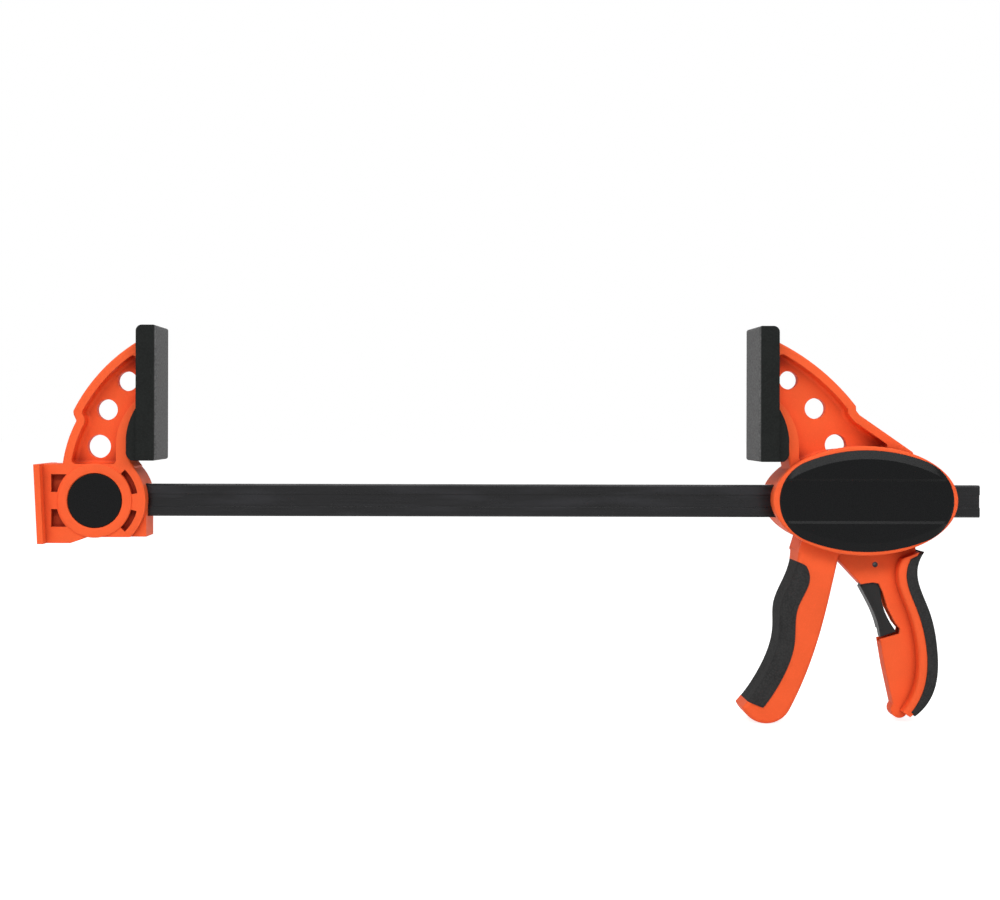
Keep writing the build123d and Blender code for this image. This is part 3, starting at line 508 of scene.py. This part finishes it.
# ---- button ring --------------------------------------------------------------------
BUTTON_AT = Vector((-31.3, -10.0, -53.2))    # middle of the button, on the block's face
RING_INNER, RING_OUTER = 13.6, 18.3          # radii
RING_PROUD = 0.8
RING_PROFILE = ((RING_INNER, 0), (RING_INNER, -RING_PROUD),
                (RING_OUTER, -RING_PROUD), (RING_OUTER, 0))     # radius, depth
RING_ROUND = 0.4                             # width of its rounded corners
RING_STEPS = 96
RING_CORNER = 40                             # degrees


class CLAMP_OT_button_ring(bpy.types.Operator):
    """Makes the raised ring round the lock button"""
    bl_idname = "clamp.button_ring"
    bl_label = "Button ring"

    def execute(self, context):
        build = bmesh.new()
        profile = [build.verts.new((BUTTON_AT + Vector((radius, depth, 0))) * MM)
                   for radius, depth in RING_PROFILE]
        edges = [build.edges.new(pair) for pair in zip(profile, profile[1:] + profile[:1])]
        bmesh.ops.spin(
            build, geom=profile + edges, cent=BUTTON_AT * MM, axis=(0, 1, 0), angle=2 * pi,
            steps=RING_STEPS, use_merge=True, use_duplicate=False)
        bmesh.ops.remove_doubles(build, verts=build.verts, dist=ROUND_WELD)
        front = (BUTTON_AT.y - RING_PROUD) * MM
        crown = []
        for edge in build.edges:
            radii = [(v.co - BUTTON_AT * MM).length for v in edge.verts]
            if (all(abs(v.co.y - front) < ROUND_WELD for v in edge.verts)
                    and abs(radii[0] - radii[1]) < 0.1 * MM):
                crown.append(edge)
        bmesh.ops.bevel(
            build, geom=crown, offset=RING_ROUND * MM, segments=3, profile=0.5, affect="EDGES",
            material=-1)
        bmesh.ops.recalc_face_normals(build, faces=build.faces)
        shade_by_angle(build, RING_CORNER)
        piece("button_ring", build, "glass_filled_nylon", "root")
        return {"FINISHED"}


# ---- moving jaw ---------------------------------------------------------------------
HOLE_AT = Vector((336.0, 0, -25.1))      # third hole of the moving arm, in millimetres
HOLE_RADIUS = 5.3
HOLE_FLOOR = Vector((336.0, 0, -27.5))   # the housing's wall below the hole
HOLE_FLOOR_UP = (-0.15, 0, 1)
CUTTER_LONG = 24.0                       # more than the arm is deep
CUTTER_STEPS = 64
JAW_CORNER = 32                          # degrees


def hole_cutter():
    """Round rod through the arm, cut off above the housing's wall."""
    build = bmesh.new()
    bmesh.ops.create_cone(
        build, cap_ends=True, segments=CUTTER_STEPS, radius1=HOLE_RADIUS * MM,
        radius2=HOLE_RADIUS * MM, depth=CUTTER_LONG * MM)
    bmesh.ops.rotate(build, verts=build.verts, matrix=Matrix.Rotation(radians(90), 3, "X"))
    bmesh.ops.translate(build, verts=build.verts, vec=HOLE_AT * MM)
    cut = bmesh.ops.bisect_plane(
        build, geom=build.verts[:] + build.edges[:] + build.faces[:], plane_co=HOLE_FLOOR * MM,
        plane_no=HOLE_FLOOR_UP, clear_inner=True)
    rim = [e for e in cut["geom_cut"] if isinstance(e, bmesh.types.BMEdge)]
    bmesh.ops.edgeloop_fill(build, edges=rim)
    bmesh.ops.recalc_face_normals(build, faces=build.faces)
    mesh = bpy.data.meshes.new("hole_cutter")
    build.to_mesh(mesh)
    build.free()
    return mesh


class CLAMP_OT_moving_jaw(bpy.types.Operator):
    """Makes the moving jaw's moulding, with its third hole open above the housing"""
    bl_idname = "clamp.moving_jaw"
    bl_label = "Moving jaw"

    def execute(self, context):
        scene = context.scene
        build = bmesh.new()
        build.from_mesh(NODES["moving_jaw"].data)
        bmesh.ops.remove_doubles(build, verts=build.verts, dist=WELD)
        mesh = bpy.data.meshes.new("moving_jaw_blank")
        build.to_mesh(mesh)
        blank = bpy.data.objects.new("moving_jaw_blank", mesh)
        cutter = bpy.data.objects.new("hole_cutter", hole_cutter())
        for item in (blank, cutter):
            scene.collection.objects.link(item)
        drill = blank.modifiers.new("hole", "BOOLEAN")
        drill.operation = "DIFFERENCE"
        drill.solver = "EXACT"
        drill.object = cutter
        shown = context.evaluated_depsgraph_get()
        drilled = bpy.data.meshes.new_from_object(blank.evaluated_get(shown))
        for item in (blank, cutter):
            bpy.data.objects.remove(item)
        build.clear()
        build.from_mesh(drilled)
        shade_by_angle(build, JAW_CORNER)
        made = piece("moving_jaw_moulding", build, "glass_filled_nylon", "jaw")
        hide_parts("moving_jaw")
        return {"FINISHED"}


# ---- springs ------------------------------------------------------------------------
# node, its body, the joint that presses it together, its axis, and how far, in millimetres
SPRINGS = (("drive_spring", "jaw", "trigger_squeeze", (1, 0, 0), 10.93),
           ("button_spring", "root", "button_press", (0, 1, 0), 3.6))
COIL_CORNER = 50                         # degrees


class CLAMP_OT_springs(bpy.types.Operator):
    """Makes the springs that the trigger and the lock button press together"""
    bl_idname = "clamp.springs"
    bl_label = "Springs"

    def execute(self, context):
        for node, body, joint, axis, travel in SPRINGS:
            build = bmesh.new()
            build.from_mesh(NODES[node].data)
            bmesh.ops.remove_doubles(build, verts=build.verts, dist=WELD)
            shade_by_angle(build, COIL_CORNER)
            made = piece(node + "_coil", build, "drawn_spring_wire", body)
            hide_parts(node)
            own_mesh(made)
        return {"FINISHED"}


# ---- stage --------------------------------------------------------------------------
CAMERA_AT = Vector((0.1438, 0, -0.0121))     # where its axis meets the clamp's middle plane
CAMERA_SHIFT = (0.05, -0.032)
SENSOR_WIDTH = 36.0
CLIP_START = 0.05
AIM = Vector((0.17, 0, -0.05))               # what the lamps point at
LAMPS = (("top_box", (0.15, -0.12, 1.1), (1.4, 0.3), "top"),
         ("key_box", (0.22, -1.0, 0.74), (2.1, 0.36), "key"),
         ("fill_box", (-1.0, -1.0, 0.45), (0.5, 0.7), "fill"))  # name, place, size, setting
FLOOR_HALF = 8.0
FLOOR_BELOW = 0.0002                         # gap under the clamp
FLOOR_GLOW = 0.8


def soft_box(name, place, size, power):
    """Area lamp turned towards the clamp."""
    lamp = bpy.data.lights.new(name, "AREA")
    lamp.shape = "RECTANGLE"
    lamp.size, lamp.size_y = size
    lamp.energy = power
    holder = bpy.data.objects.new(name, lamp)
    holder.location = place
    holder.rotation_euler = (AIM - Vector(place)).to_track_quat("-Z", "Y").to_euler()
    bpy.context.scene.collection.objects.link(holder)


def seen_rays(tree):
    """One for rays that reach the camera straight, mirrored or through glass."""
    path = add(tree, "LightPath").outputs
    both = add(tree, "Math", {"operation": "MAXIMUM"}, {
        0: path["Is Camera Ray"], 1: path["Is Glossy Ray"]})
    return add(tree, "Math", {"operation": "MAXIMUM"}, {
        0: both.outputs[0], 1: path["Is Transmission Ray"]}).outputs[0]


def make_floor(scene):
    """Pale floor that takes shadows and melts into the background."""
    mesh = bpy.data.meshes.new("floor")
    build = bmesh.new()
    bmesh.ops.create_grid(build, x_segments=1, y_segments=1, size=FLOOR_HALF)
    bmesh.ops.translate(build, verts=build.verts, vec=(AIM.x, 0, CAD_BOX[0].z - FLOOR_BELOW))
    build.to_mesh(mesh)
    build.free()
    floor = bpy.data.objects.new("floor", mesh)
    scene.collection.objects.link(floor)
    material, tree, shader = start_material("pale_floor", Roughness=0.9, Specular_IOR_Level=0.0)
    shader.inputs["Base Color"].default_value = (0.8, 0.8, 0.8, 1)
    glow = add(tree, "Emission", {}, {
        "Strength": spread(tree, seen_rays(tree), 0, 1, 0, FLOOR_GLOW)})
    both = add(tree, "AddShader", {}, {0: shader.outputs[0], 1: glow.outputs[0]})
    tree.links.new(both.outputs[0], tree.nodes["Material Output"].inputs["Surface"])
    mesh.materials.append(material)


def make_world(scene, settings):
    """White all round, which looks bright and lights the clamp only a little."""
    world = bpy.data.worlds.new("studio")
    world.use_nodes = True
    scene.world = world
    tree = world.node_tree
    back = tree.nodes["Background"]
    strength = spread(tree, seen_rays(tree), 0, 1, settings.world, 1.0)
    tree.links.new(strength, back.inputs["Strength"])
    back.inputs["Color"].default_value = (1, 1, 1, 1)


def make_camera(scene, settings):
    """Camera square to the clamp's front."""
    camera = bpy.data.cameras.new("camera")
    camera.lens = settings.lens
    camera.sensor_width = SENSOR_WIDTH
    camera.shift_x, camera.shift_y = CAMERA_SHIFT
    camera.clip_start = CLIP_START
    holder = bpy.data.objects.new("camera", camera)
    holder.location = CAMERA_AT - Vector((0, settings.distance, 0))
    holder.rotation_euler = (radians(90), settings.roll, 0)
    scene.collection.objects.link(holder)
    scene.camera = holder


class CLAMP_OT_stage(bpy.types.Operator):
    """Makes the floor, the lamps, the world and the camera"""
    bl_idname = "clamp.stage"
    bl_label = "Stage"

    def execute(self, context):
        scene = context.scene
        settings = scene.clamp_stage
        make_floor(scene)
        make_world(scene, settings)
        for name, place, size, power in LAMPS:
            soft_box(name, place, size, getattr(settings, power))
        make_camera(scene, settings)
        scene.view_settings.view_transform = "Standard"
        return {"FINISHED"}


class CLAMP_PT_panel(bpy.types.Panel):
    """Lists the steps and their sizes"""
    bl_idname = "CLAMP_PT_panel"
    bl_label = "Bar Clamp"
    bl_space_type = "VIEW_3D"
    bl_region_type = "UI"
    bl_category = "Bar Clamp"

    def draw(self, context):
        scene = context.scene
        for group in (scene.clamp_finish, scene.clamp_cover, scene.clamp_stage):
            for name in group.bl_rna.properties.keys():
                if name not in ("rna_type", "name"):
                    self.layout.prop(group, name)
        for step in STEPS:
            self.layout.operator(step.bl_idname)


STEPS = (CLAMP_OT_mouldings, CLAMP_OT_rubber, CLAMP_OT_steel, CLAMP_OT_cover,
         CLAMP_OT_button_ring, CLAMP_OT_moving_jaw, CLAMP_OT_springs, CLAMP_OT_stage)
CLASSES = (ClampFinish, ClampCover, ClampStage) + STEPS + (CLAMP_PT_panel,)


def register():
    for item in CLASSES:
        bpy.utils.register_class(item)
    bpy.types.Scene.clamp_finish = PointerProperty(type=ClampFinish)
    bpy.types.Scene.clamp_cover = PointerProperty(type=ClampCover)
    bpy.types.Scene.clamp_stage = PointerProperty(type=ClampStage)


def unregister():
    del bpy.types.Scene.clamp_stage
    del bpy.types.Scene.clamp_cover
    del bpy.types.Scene.clamp_finish
    for item in reversed(CLASSES):
        bpy.utils.unregister_class(item)


def main():
    register()
    for step in STEPS:
        family, name = step.bl_idname.split(".")
        getattr(getattr(bpy.ops, family), name)()


if __name__ == "__main__":
    main()
